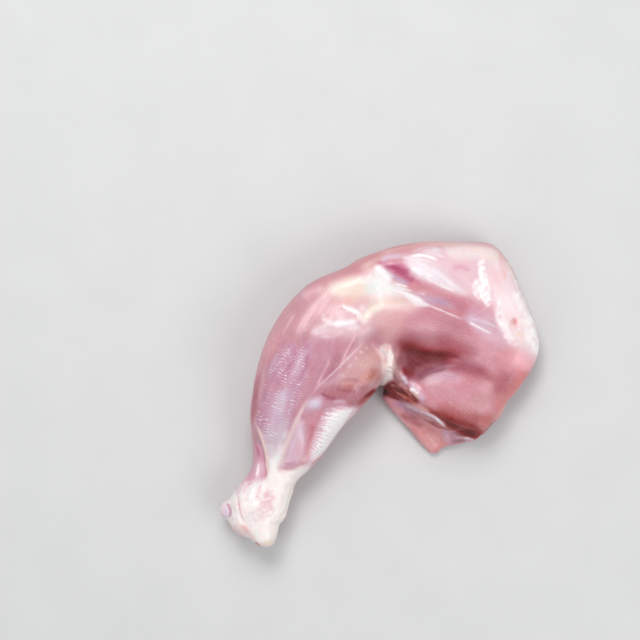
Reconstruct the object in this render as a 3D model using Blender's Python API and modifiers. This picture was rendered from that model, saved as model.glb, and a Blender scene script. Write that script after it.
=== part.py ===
"""Raw skinless chicken leg, drumstick and thigh in one piece, lying with its knee bent.

The leg is one solid. Each muscle is a lofted spindle. The spindles are fused and softened into
flesh, the thin and the hard pieces are fused on, and seams and hollows are pressed into the top.
The underside is settled flat where the leg lies. X runs to the right and Y away, as seen from
above, and Z is up. The origin is on the surface that carries the leg, under the middle of its box.
"""

import math

import bmesh
import bpy
import numpy as np

MM = 0.001

# The two limbs in plan, in millimetres and degrees. Each runs from the knee along its heading.
KNEE = (-14.0, 44.0)
DRUMSTICK_LENGTH = 122.0
DRUMSTICK_HEADING = 245.3
THIGH_LENGTH = 90.0
THIGH_HEADING = 0.0

# How finely the flesh is made, in millimetres, and how often it is softened.
STATION_STEP = 1.5
RING_CORNERS = 48
VOXEL = 1.4
FLESH_SOFTENING = 40
DETAIL_SOFTENING = 5
PRESSED_SOFTENING = 3
TARGET_TRIANGLES = 9000

# What comes this near to the surface that carries the leg lies on it, in millimetres.
SETTLED = 0.05

# A spindle's section is a superellipse. Its ends are rounded over a share of their width.
SECTION_POWER = 2.3
SPINDLE_END = 0.35
SLAB_END = 0.5
END_RING = 0.03

FLESH_COLOUR = (0.64, 0.33, 0.36, 1.0)
FLESH_ROUGHNESS = 0.35

# A spindle's stations: share of the limb's length from the knee, offset to the left of its
# heading, width across, height of the underside and height of the top.
DRUMSTICK_FLESH = {
    "shin_lobe": [
        (-0.06, -6.5, 20, 5, 33),
        (0.08, -12, 29, 0, 37.5),
        (0.22, -14.5, 32, -4, 40),
        (0.40, -13.5, 30, -5, 39.5),
        (0.56, -10, 25, -4, 35),
        (0.68, -5.5, 18, 0, 29),
        (0.80, -3, 13, 5, 24),
    ],
    "middle_wedge": [
        (-0.02, 3, 32, 4, 39),
        (0.15, 3, 28, 2, 40.5),
        (0.32, 2, 22, 4, 39),
        (0.46, 1.5, 14, 6, 36),
        (0.56, 1, 9, 8, 31),
    ],
    "calf_lobe": [
        (0.12, 15, 24, 3, 36),
        (0.24, 16, 27, -1, 38),
        (0.36, 12.6, 26, -3, 37),
        (0.44, 10.4, 23.5, -2, 35),
        (0.52, 8.8, 22.5, -1, 32),
        (0.62, 6.6, 22.6, 2, 28),
        (0.74, 3, 18, 5, 24),
    ],
    "inner_mass": [
        (0.02, 3, 42, 2, 36),
        (0.20, 0, 52, -4, 38.5),
        (0.40, -2, 46, -5, 37.5),
        (0.56, -2, 35, -3, 32),
        (0.70, 0, 24, 1, 25),
        (0.80, 0.5, 20, 4, 22),
    ],
    "ankle_shaft": [
        (0.66, 0, 20, 4, 26),
        (0.78, 1, 23, 3, 25),
        (0.86, 0.7, 27.6, 1, 26),
        (0.91, 0.4, 30, -0.5, 27),
        (0.955, 1.3, 28, 0, 26),
        (1.02, 6.5, 17, 1, 25),
    ],
}

# The thigh's broad body. Its sections all stand square to the thigh.
THIGH_SLAB = [
    (-0.04, 2, 26, 5, 30),
    (0.09, -1.5, 45, 2, 30),
    (0.18, -5, 61, 0, 29),
    (0.27, -9, 74, -2, 28),
    (0.40, -11.5, 85, -3, 28),
    (0.556, -15.5, 93, -3, 27),
    (0.68, -16, 94, -3, 26),
    (0.79, -11.4, 81.5, -2, 25),
    (0.87, -13.8, 68, -1, 25),
    (0.94, -18, 48.5, 0, 24),
    (1.04, -20.5, 32, 2, 21),
]

THIGH_FLESH = {
    "knee_cap": [
        (-0.20, 2, 17, 6, 34),
        (-0.06, 4.5, 23, 4, 37),
        (0.10, 8.5, 25, 2, 37),
        (0.24, 12, 24, 2, 35),
    ],
    "middle_lobe": [
        (0.03, -3, 28, 4, 39),
        (0.20, -6, 32, 0, 40),
        (0.40, -10, 34, -2, 39),
        (0.58, -16, 36, -2, 36),
        (0.74, -21, 36, -2, 32),
        (0.90, -24, 28, 0, 27),
    ],
    "upper_fan": [
        (-0.02, 6, 26, 4, 37),
        (0.15, 10, 30, 2, 37),
        (0.35, 13, 34, 0, 35),
        (0.55, 12, 36, 0, 32),
        (0.72, 8, 36, 0, 28),
        (0.85, 0, 28, 2, 24),
    ],
    "outer_band": [
        (0.12, 15, 18, 3, 32),
        (0.30, 19.5, 19, 2, 31),
        (0.50, 20.5, 20, 1, 29),
        (0.70, 19.5, 20, 0, 26),
        (0.79, 17, 20, 0, 24),
    ],
    "lower_lobe": [
        (0.27, -37, 20, 2, 27),
        (0.40, -41, 28, 0, 31),
        (0.55, -45, 36, -2, 32),
        (0.68, -44, 36, -2, 30),
        (0.79, -37.5, 30, -1, 27),
    ],
    "rear_bridge": [
        (0.58, -29, 26, 0, 32),
        (0.74, -30, 34, 0, 31),
        (0.88, -26, 34, 0, 27),
    ],
    "knee_fold_fat": [
        (0.16, -16, 10, 12, 35),
        (0.22, -25, 10, 12, 34),
        (0.225, -35, 8, 10, 30),
    ],
    "fold_web": [
        (0.17, -40.5, 10, -1, 14),
        (0.24, -40, 13, -1, 17),
        (0.33, -43, 14, -1, 18),
    ],
}

# Thin and hard pieces, which keep more of their edges.
DRUMSTICK_DETAIL = {
    "front_condyle": [(0.90, -7, 13, 5, 27.5), (0.96, -6.5, 12, 3, 26)],
    "rear_condyle": [(0.93, 7.5, 13, 4, 26.5), (1.045, 9.5, 12, 3, 25)],
    "outer_knob": [(0.935, -11, 8, 6, 19), (0.965, -12.6, 8.5, 6, 19), (1.0, -12, 7, 7, 18)],
}

THIGH_DETAIL = {
    "flap_tip": [
        (0.185, -43, 8.5, -2, 11),
        (0.296, -51.5, 12, -2, 10.5),
        (0.40, -60.5, 14, -2, 9.5),
        (0.446, -68, 11.5, -1.5, 7),
        (0.476, -75.5, 5, -1, 5),
    ],
    "flap_edge": [
        (0.31, -46, 14, -2, 10),
        (0.46, -57.5, 21, -2, 10),
        (0.55, -61.5, 20.5, -2, 8.5),
        (0.65, -61.5, 14.5, -1, 7),
        (0.73, -57, 12, -1, 6),
    ],
}

# Strokes pressed into the top: half width, depth, and a path of shares and offsets.
DRUMSTICK_STROKES = {
    "shin_seam": (1.8, 0.6, [(0.70, -1), (0.43, -1.5), (0.32, 0.5), (0.24, 0), (0.13, -2.5)]),
    "calf_seam": (1.8, 0.6, [(0.74, 3.5), (0.56, 6), (0.38, 5.5), (0.25, 8), (0.12, 11)]),
    "neck_hollow": (3.0, 1.2, [(0.72, -7), (0.84, -6)]),
    "condyle_groove": (2.2, 1.4, [(0.94, -1), (1.04, 0)]),
}

THIGH_STROKES = {
    "knee_pit": (6.5, 3.5, [(0.27, -25), (0.36, -22.5), (0.45, -22)]),
    "fan_seam": (2.2, 0.7, [(0.28, 2.5), (0.42, -1), (0.60, -9), (0.76, -14.5)]),
    "upper_hollow": (4.0, 1.3, [(0.16, 14), (0.24, 10), (0.34, 6)]),
    "rim_hollow": (3.5, 1.8, [(0.79, -10), (0.83, -16)]),
    "flap_crease": (2.0, 1.2, [(0.17, -43), (0.30, -50), (0.43, -57), (0.54, -62.5), (0.66, -66)]),
}


class Limb:
    """A straight line in plan, in millimetres, that places what lies along it and beside it."""

    def __init__(self, start, heading, length):
        angle = math.radians(heading)
        self.start = np.array(start)
        self.along = np.array([math.cos(angle), math.sin(angle)])
        self.left = np.array([-math.sin(angle), math.cos(angle)])
        self.length = length

    def place(self, share, offset):
        return self.start + self.along * share * self.length + self.left * offset

    def stations(self, rows):
        """A spindle's stations as (x, y, width, underside, top)."""
        return [(*self.place(share, offset), *rest) for share, offset, *rest in rows]


DRUMSTICK = Limb(KNEE, DRUMSTICK_HEADING, DRUMSTICK_LENGTH)
THIGH = Limb(KNEE, THIGH_HEADING, THIGH_LENGTH)


def smooth_through(points, step):
    """Rows read every step of a smooth curve through rows whose first two columns are a place."""
    points = np.array(points, float)
    chords = np.linalg.norm(np.diff(points[:, :2], axis=0), axis=1)
    at = np.concatenate([[0.0], np.cumsum(chords)])
    slope = np.gradient(points, at, axis=0)
    wanted = np.linspace(0.0, at[-1], max(3, int(at[-1] / step) + 1))
    i = np.clip(np.searchsorted(at, wanted, side="right") - 1, 0, len(at) - 2)
    span = (at[i + 1] - at[i])[:, None]
    t = (wanted - at[i])[:, None] / span
    from_here = (2 * t**3 - 3 * t**2 + 1) * points[i] + (t**3 - 2 * t**2 + t) * span * slope[i]
    from_next = (3 * t**2 - 2 * t**3) * points[i + 1] + (t**3 - t**2) * span * slope[i + 1]
    return wanted, from_here + from_next


def superellipse(corners, power):
    """Corners of a closed section of half width and half height 1."""
    turn = np.linspace(0.0, 2 * math.pi, corners, endpoint=False)
    across = np.sign(np.cos(turn)) * np.abs(np.cos(turn)) ** (2 / power)
    up = np.sign(np.sin(turn)) * np.abs(np.sin(turn)) ** (2 / power)
    return across, up


def rounded(from_end, end_length):
    """How wide a spindle is at a distance from its end, as a share of its full width."""
    inward = min(1.0, END_RING + from_end / end_length)
    return math.sqrt(1 - (1 - inward) ** 2)


def add_spindle(bm, stations, end_share, side=None):
    """A closed loft through stations of (x, y, width, underside, top).

    Its sections stand square to its own path, or lie along side where that is given."""
    at, rows = smooth_through(stations, STATION_STEP)
    if side is None:
        heading = np.gradient(rows[:, :2], axis=0)
        heading /= np.linalg.norm(heading, axis=1)[:, None]
        side = np.stack([-heading[:, 1], heading[:, 0]], axis=1)
    sides = np.broadcast_to(side, (len(rows), 2))
    across, up = superellipse(RING_CORNERS, SECTION_POWER)
    first_end, last_end = rows[0, 2] * end_share, rows[-1, 2] * end_share
    rings = []
    for distance, (x, y, width, low, high), (side_x, side_y) in zip(at, rows, sides):
        shrink = rounded(distance, first_end) * rounded(at[-1] - distance, last_end)
        reach = across * width / 2 * shrink
        height = (low + high) / 2 + up * (high - low) / 2 * shrink
        corners = zip(x + side_x * reach, y + side_y * reach, height)
        rings.append([bm.verts.new((cx * MM, cy * MM, cz * MM)) for cx, cy, cz in corners])
    for ring, following in zip(rings, rings[1:]):
        for c in range(RING_CORNERS):
            n = (c + 1) % RING_CORNERS
            bm.faces.new((ring[c], ring[n], following[n], following[c]))
    bm.faces.new(rings[0][::-1])
    bm.faces.new(rings[-1])


def add_limb(bm, limb, spindles):
    for rows in spindles.values():
        add_spindle(bm, limb.stations(rows), SPINDLE_END)


def as_mesh(bm, name):
    bmesh.ops.recalc_face_normals(bm, faces=bm.faces)
    mesh = bpy.data.meshes.new(name)
    bm.to_mesh(mesh)
    bm.free()
    return mesh


def flesh_mesh():
    """The muscles, as overlapping spindles."""
    bm = bmesh.new()
    add_spindle(bm, THIGH.stations(THIGH_SLAB), SLAB_END, side=THIGH.left)
    add_limb(bm, DRUMSTICK, DRUMSTICK_FLESH)
    add_limb(bm, THIGH, THIGH_FLESH)
    return as_mesh(bm, "flesh")


def detailed_mesh(flesh):
    """The fused flesh with the thin and hard pieces overlapping it."""
    bm = bmesh.new()
    bm.from_mesh(flesh)
    add_limb(bm, DRUMSTICK, DRUMSTICK_DETAIL)
    add_limb(bm, THIGH, THIGH_DETAIL)
    return as_mesh(bm, "detailed")


def apply_modifiers(obj):
    bpy.context.view_layer.update()
    graph = bpy.context.evaluated_depsgraph_get()
    mesh = bpy.data.meshes.new_from_object(obj.evaluated_get(graph))
    obj.modifiers.clear()
    obj.data = mesh


def fuse(obj, softening):
    """Makes the overlapping bodies one skin and softens the creases between them."""
    remesh = obj.modifiers.new("fuse", "REMESH")
    remesh.mode = "VOXEL"
    remesh.voxel_size = VOXEL * MM
    soften(obj, softening)


def soften(obj, times):
    smooth = obj.modifiers.new("soften", "SMOOTH")
    smooth.iterations = times
    apply_modifiers(obj)


def thin_out(obj):
    """Brings the mesh down to its number of triangles, most of them where it curves."""
    obj.data.calc_loop_triangles()
    decimate = obj.modifiers.new("thin out", "DECIMATE")
    decimate.ratio = TARGET_TRIANGLES / len(obj.data.loop_triangles)
    decimate.use_collapse_triangulate = True
    apply_modifiers(obj)


def read_vectors(items, field):
    values = np.zeros(len(items) * 3)
    items.foreach_get(field, values)
    return values.reshape(-1, 3)


def write_points(mesh, points):
    mesh.vertices.foreach_set("co", points.ravel())
    mesh.update()


def distance_to_path(places, path):
    """How far each place in plan is from a path of straight runs."""
    nearest = np.full(len(places), np.inf)
    for start, end in zip(path, path[1:]):
        run = end - start
        t = np.clip((places - start) @ run / (run @ run), 0.0, 1.0)
        nearest = np.minimum(nearest, np.linalg.norm(places - start - t[:, None] * run, axis=1))
    return nearest


def press(mesh, limb, strokes):
    """Presses strokes into the side that faces up."""
    points = read_vectors(mesh.vertices, "co") / MM
    normals = read_vectors(mesh.vertices, "normal")
    upward = np.clip(normals[:, 2], 0.0, 1.0)
    for half_width, depth, path in strokes.values():
        path = [limb.place(share, offset) for share, offset in path]
        away = distance_to_path(points[:, :2], path)
        sink = depth * upward * np.exp(-((away / half_width) ** 2))
        points -= normals * sink[:, None]
    write_points(mesh, points * MM)


def settle(mesh):
    """Flattens what touches the surface that carries the leg, or would reach below it."""
    points = read_vectors(mesh.vertices, "co")
    points[points[:, 2] < SETTLED * MM, 2] = 0.0
    write_points(mesh, points)


def centre(mesh):
    """Puts the origin under the middle of the box."""
    points = read_vectors(mesh.vertices, "co")
    points[:, :2] -= (points[:, :2].min(axis=0) + points[:, :2].max(axis=0)) / 2
    write_points(mesh, points)


def flesh_material():
    material = bpy.data.materials.new("raw_flesh")
    material.use_nodes = True
    shader = material.node_tree.nodes["Principled BSDF"]
    shader.inputs["Base Color"].default_value = FLESH_COLOUR
    shader.inputs["Roughness"].default_value = FLESH_ROUGHNESS
    shader.inputs["Metallic"].default_value = 0.0
    material.diffuse_color = FLESH_COLOUR
    return material


def build_leg():
    leg = bpy.data.objects.new("chicken_leg", flesh_mesh())
    collection = bpy.data.collections.new("chicken_leg")
    bpy.context.scene.collection.children.link(collection)
    collection.objects.link(leg)
    fuse(leg, FLESH_SOFTENING)
    leg.data = detailed_mesh(leg.data)
    fuse(leg, DETAIL_SOFTENING)
    press(leg.data, DRUMSTICK, DRUMSTICK_STROKES)
    press(leg.data, THIGH, THIGH_STROKES)
    soften(leg, PRESSED_SOFTENING)
    settle(leg.data)
    thin_out(leg)
    settle(leg.data)
    centre(leg.data)
    leg.data.shade_smooth()
    leg.data.materials.clear()
    leg.data.materials.append(flesh_material())


for old in list(bpy.data.objects):
    bpy.data.objects.remove(old)
build_leg()
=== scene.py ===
"""The looks of a raw skinless chicken leg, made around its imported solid.

The solid's own form is made again as a fine skin. Seams, tendons, folds and fat are raised on it or
pressed into it, and its colours are painted as soft strokes and patches, which the material reads.
"""

import math

import bmesh
import bpy
import numpy as np
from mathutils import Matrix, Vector


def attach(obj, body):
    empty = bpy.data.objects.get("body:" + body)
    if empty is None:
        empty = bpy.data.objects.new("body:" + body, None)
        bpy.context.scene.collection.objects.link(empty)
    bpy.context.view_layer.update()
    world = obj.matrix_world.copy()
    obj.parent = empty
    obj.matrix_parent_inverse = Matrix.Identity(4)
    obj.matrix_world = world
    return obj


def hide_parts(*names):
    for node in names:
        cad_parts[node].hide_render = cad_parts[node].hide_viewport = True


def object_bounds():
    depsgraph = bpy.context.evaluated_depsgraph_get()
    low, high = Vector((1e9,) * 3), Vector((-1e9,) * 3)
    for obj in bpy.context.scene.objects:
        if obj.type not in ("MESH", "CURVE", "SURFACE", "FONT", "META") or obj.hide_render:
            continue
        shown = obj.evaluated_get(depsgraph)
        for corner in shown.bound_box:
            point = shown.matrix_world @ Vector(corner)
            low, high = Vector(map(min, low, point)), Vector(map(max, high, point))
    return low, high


MM = 0.001

# The picture: square, taken from straight above. Strokes and patches are given as places in it, in
# pixels from its top left corner.
PICTURE = 640
PIXEL = 0.49
PIXEL_LEVEL = 18.0
CAMERA_HEIGHT = 750.0
CAMERA_FROM_MIDDLE = (-29.46, 36.39)
SENSOR = 36.0

# The skin's mesh: its voxels in millimetres and how often it is smoothed. Below the hidden height,
# only a share of the faces that look down is kept.
SKIN_VOXEL = 0.68
SKIN_SMOOTHING = 10
HIDDEN_HEIGHT = 9.0
HIDDEN_SHARE = 0.16

# How far up a surface has to face for strokes from above to begin on it and to be full.
FACING = (-0.35, 0.15)

# How far lines and dabs reach, in half widths. A line's ends fade over a share of its length, and
# the streaks in it are squeezed along it.
LINE_REACH = 3
DAB_REACH = 2.2
LINE_FADE = 0.25
STREAK_SQUEEZE = 0.22

# The least of a stroke that is still broken up by noise.
TRACE = 0.003

# The first seeds of the strokes, of the lumps of fat and of the streaks on the sides.
STROKE_SEED, FAT_SEED, SIDE_SEED = 100, 200, 300

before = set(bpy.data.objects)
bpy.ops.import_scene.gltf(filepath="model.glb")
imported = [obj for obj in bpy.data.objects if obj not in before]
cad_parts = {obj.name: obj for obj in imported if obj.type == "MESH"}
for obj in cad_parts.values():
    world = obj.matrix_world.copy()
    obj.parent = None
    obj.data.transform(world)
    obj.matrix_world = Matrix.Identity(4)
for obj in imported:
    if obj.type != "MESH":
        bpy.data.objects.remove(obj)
cad_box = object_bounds()
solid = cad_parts["chicken_leg"]


def linear(colour):
    """A colour of 0 to 255 as linear light."""
    c = np.array(colour, float) / 255
    return np.where(c <= 0.04045, c / 12.92, ((c + 0.055) / 1.055) ** 2.4)


def ramp(values, low, high):
    """0 below low, 1 above high and a smooth step between them."""
    t = np.clip((values - low) / (high - low), 0.0, 1.0)
    return t * t * (3 - 2 * t)


def path_of(text):
    """The places that a text such as "304,289 272,325" gives."""
    return np.array([pair.split(",") for pair in text.split()], float)


def camera_place():
    """Where the camera is, in millimetres."""
    low, high = np.array(cad_box[0]), np.array(cad_box[1])
    middle = (low + high) / 2 / MM
    return np.array([middle[0] + CAMERA_FROM_MIDDLE[0], middle[1] + CAMERA_FROM_MIDDLE[1], CAMERA_HEIGHT])


def in_picture(points):
    """Where points in millimetres are in the picture, in pixels."""
    x, y, z = camera_place()
    scale = (CAMERA_HEIGHT - PIXEL_LEVEL) / (z - points[:, 2]) / PIXEL
    across = PICTURE / 2 + (points[:, 0] - x) * scale
    down = PICTURE / 2 - (points[:, 1] - y) * scale
    return np.stack([across, down], axis=1)


def smooth_curve(points, per_span=8):
    """Points of a smooth curve through the given ones."""
    p = np.array(points, float)
    p = np.vstack([2 * p[0] - p[1], p, 2 * p[-1] - p[-2]])
    t = (np.arange(per_span) / per_span)[:, None]
    spans = [
        0.5 * (2 * b + (c - a) * t + (2 * a - 5 * b + 4 * c - d) * t**2 + (3 * b - a - 3 * c + d) * t**3)
        for a, b, c, d in zip(p, p[1:], p[2:], p[3:])
    ]
    return np.vstack(spans + [p[-2:-1]])


def beside(places, curve):
    """How far each place is from a curve, less than 0 to its left, and how far along it that is."""
    lengths = np.linalg.norm(np.diff(curve, axis=0), axis=1)
    starts = np.concatenate([[0.0], np.cumsum(lengths)])
    nearest = np.full(len(places), np.inf)
    along = np.zeros(len(places))
    for k, (a, b) in enumerate(zip(curve, curve[1:])):
        run = b - a
        t = np.clip((places - a) @ run / max(run @ run, 1e-9), 0.0, 1.0)
        d = places - a - t[:, None] * run
        away = np.linalg.norm(d, axis=1) * np.where(run[0] * d[:, 1] < run[1] * d[:, 0], -1, 1)
        closer = np.abs(away) < np.abs(nearest)
        nearest[closer] = away[closer]
        along[closer] = starts[k] + t[closer] * lengths[k]
    return nearest, along, starts[-1]


def outside(places, outline):
    """How far each place is outside a closed outline, less than 0 inside it."""
    closed = np.vstack([outline, outline[:1]])
    away = np.abs(beside(places, closed)[0])
    inside = np.zeros(len(places), bool)
    for (ax, ay), (bx, by) in zip(closed, closed[1:]):
        if ay == by:
            continue
        crosses = (ay > places[:, 1]) != (by > places[:, 1])
        at = ax + (places[:, 1] - ay) / (by - ay) * (bx - ax)
        inside ^= crosses & (places[:, 0] < at)
    return np.where(inside, -away, away)


def lumps(points, size, seed):
    """Smooth noise from -1 to 1 at each point, with lumps about size across."""
    side = 32
    values = np.random.default_rng(seed).uniform(-1, 1, (side, side, side))
    q = points / size
    corner = np.floor(q).astype(int)
    f = q - corner
    f = f * f * (3 - 2 * f)
    total = np.zeros(len(points))
    for step in np.ndindex(2, 2, 2):
        x, y, z = ((corner + step) % side).T
        total += values[x, y, z] * np.where(step, f, 1 - f).prod(axis=1)
    return total


def rough_lumps(points, size, seed):
    """Noise with lumps of three sizes, from -1 to 1."""
    octaves = ((1.0, 0.57), (0.5, 0.29), (0.25, 0.14))
    return sum(share * lumps(points, size * scale, seed + k) for k, (scale, share) in enumerate(octaves))


def part(mask, noise, least=0.35):
    """A mask parted by noise, so that its edge and its strength are uneven."""
    return mask * ramp(noise + mask - 0.5, -0.5, 0.3) * (least + (1 - least) * ramp(noise, -0.5, 0.5))


class Skin:
    """The leg's surface as arrays: where each point is, how it is raised and how it is coloured."""

    def __init__(self, mesh):
        self.mesh = mesh
        self.read()
        self.tint = np.tile(np.array(BASE, float), (len(self.points), 1))
        self.fat = np.zeros(len(self.points))
        self.height = np.zeros(len(self.points))

    def read(self):
        count = len(self.mesh.vertices)
        points, normals = np.zeros(count * 3), np.zeros(count * 3)
        self.mesh.vertices.foreach_get("co", points)
        self.mesh.vertices.foreach_get("normal", normals)
        self.points = points.reshape(-1, 3) / MM
        self.normals = normals.reshape(-1, 3)
        self.seen = in_picture(self.points)
        self.shown = ramp(self.normals[:, 2], *FACING)

    def close(self, outline, reach):
        """Which points are within reach of the box round an outline, in the picture."""
        low, high = outline.min(axis=0) - reach, outline.max(axis=0) + reach
        return np.flatnonzero(((self.seen > low) & (self.seen < high)).all(axis=1))

    def on_points(self, near, values):
        """Values on the near points and 0 on the others, as far as strokes from above reach."""
        mask = np.zeros(len(self.points))
        mask[near] = values
        return mask * self.shown

    def line(self, path, width, end_width, streak, seed):
        """A soft stroke along a path, with a half width at each end, parted into streaks if it has any."""
        curve = smooth_curve(path)
        near = self.close(curve, LINE_REACH * max(width, end_width))
        away, along, length = beside(self.seen[near], curve)
        share = along / length
        ends = ramp(share, -0.02, LINE_FADE) * ramp(1 - share, -0.02, LINE_FADE)
        local = (width + (end_width - width) * share) * (0.4 + 0.6 * ends)
        stroke = np.exp(-((away / local) ** 2)) * ends
        if streak:
            run = np.stack([along * STREAK_SQUEEZE, away, np.zeros(len(away))], axis=1) * PIXEL
            stroke = part(stroke, rough_lumps(run, streak, seed))
        return self.on_points(near, stroke)

    def patch(self, outline, feather):
        """1 inside an outline, falling to 0 over a feather across its edge."""
        curve = smooth_curve(np.vstack([outline, outline[:1]]), 5)[:-1]
        near = self.close(curve, feather)
        return self.on_points(near, 1 - ramp(outside(self.seen[near], curve), -feather, feather))

    def spot(self, middle, across, down, turn):
        """A soft ellipse with two half widths, turned by an angle."""
        angle = math.radians(turn)
        near = self.close(middle, DAB_REACH * max(across, down))
        d = self.seen[near] - middle
        x = (d[:, 0] * math.cos(angle) + d[:, 1] * math.sin(angle)) / across
        y = (-d[:, 0] * math.sin(angle) + d[:, 1] * math.cos(angle)) / down
        return self.on_points(near, np.exp(-((x * x + y * y) ** 1.5)))

    def stroke(self, shape, text, size, seed=0, rough=0):
        """How much of a stroke is on each point, from 0 to 1."""
        path = path_of(text)
        if shape == LINE:
            return self.line(path, *size, rough, seed)
        mask = self.patch(path, size) if shape == AREA else self.spot(path, *size)
        if rough:
            there = np.flatnonzero(mask > TRACE)
            mask[there] = part(mask[there], rough_lumps(self.points[there], rough, seed))
        return mask

    def paint(self, colour, mask, strength=1.0):
        mask = np.clip(mask * strength, 0.0, 1.0)[:, None]
        self.tint = self.tint * (1 - mask) + np.array(colour, float) * mask

    def lift(self, mask, height):
        self.height += mask * height

    def raise_relief(self):
        """Moves the points by their height along the surface's normal."""
        self.points += self.normals * self.height[:, None]
        self.points[:, 2] = np.maximum(self.points[:, 2], 0.0)
        self.height[:] = 0.0
        self.mesh.vertices.foreach_set("co", (self.points * MM).ravel())
        self.mesh.update()
        self.read()

    def store(self, name, kind, values):
        layer = self.mesh.attributes.new(name, kind, "POINT")
        field = {"FLOAT": "value", "FLOAT_VECTOR": "vector", "FLOAT_COLOR": "color"}[kind]
        layer.data.foreach_set(field, np.ascontiguousarray(values, np.float32).ravel())


# How bright a flat white surface is under the lights, and what the gloss adds to red, green and blue.
BRIGHTNESS = 1.16
GLOSS = (0.015, 0.05, 0.045)

# Colours, from 0 to 255, as they look under the lights.
BASE = (216, 152, 162)
BONE_END = (242, 214, 212)
RED_ROSE = (200, 108, 118)
SALMON = (222, 140, 138)
PALE_PINK = (247, 216, 221)
PINK = (232, 182, 190)
LILAC = (224, 206, 226)
MAGENTA = (190, 98, 134)
# The next three dark reds are flesh deepened by painted shade: along the calf's lower edge and on the lower
# lobe's front.
EDGE_SHADE_RED = (172, 80, 78)
SHADED_RAW_RED = (166, 76, 72)
EDGE_SHADE_BROWN = (120, 52, 50)
CREAM = (253, 240, 224)
FAT = (252, 244, 240)
WHITE = (252, 249, 251)
# BRIGHT, paler than white, paints the palest fat, film and cartilage, and also painted glints.
BRIGHT = (270, 266, 264)
BEIGE = (238, 206, 190)

# Paint at least this pale is fat or film; it takes in the pale painted highlights as well.
FAT_LEVEL = 226

# Rows of strokes: shape, colour, places in the picture, size, strength and, where the stroke is
# rough, the size of its lumps in millimetres. An area's size is its feather, a line's its half
# widths at start and end, and a dab's its half widths and turn.
AREA, LINE, DAB = "area", "line", "dab"

# Paths that more than one row follows.
TENDON_HEAD = "336,331 332,342 329,360 322,376 311,396"
TENDON = "311,394 304,406 297,420 289,438 282,456 278,472"
SHORT_TENDON = "361,328 352,342 344,358 338,367"
SIDE_TENDON = "369,336 360,346 348,358 334,372 318,387 308,400"
LEFT_TENDON = "253,418 259,431 263,442 266,454 267,468 268,480"
FOLD_FAT = "386,343 390,352 391,362 390,374 382,386"

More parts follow.
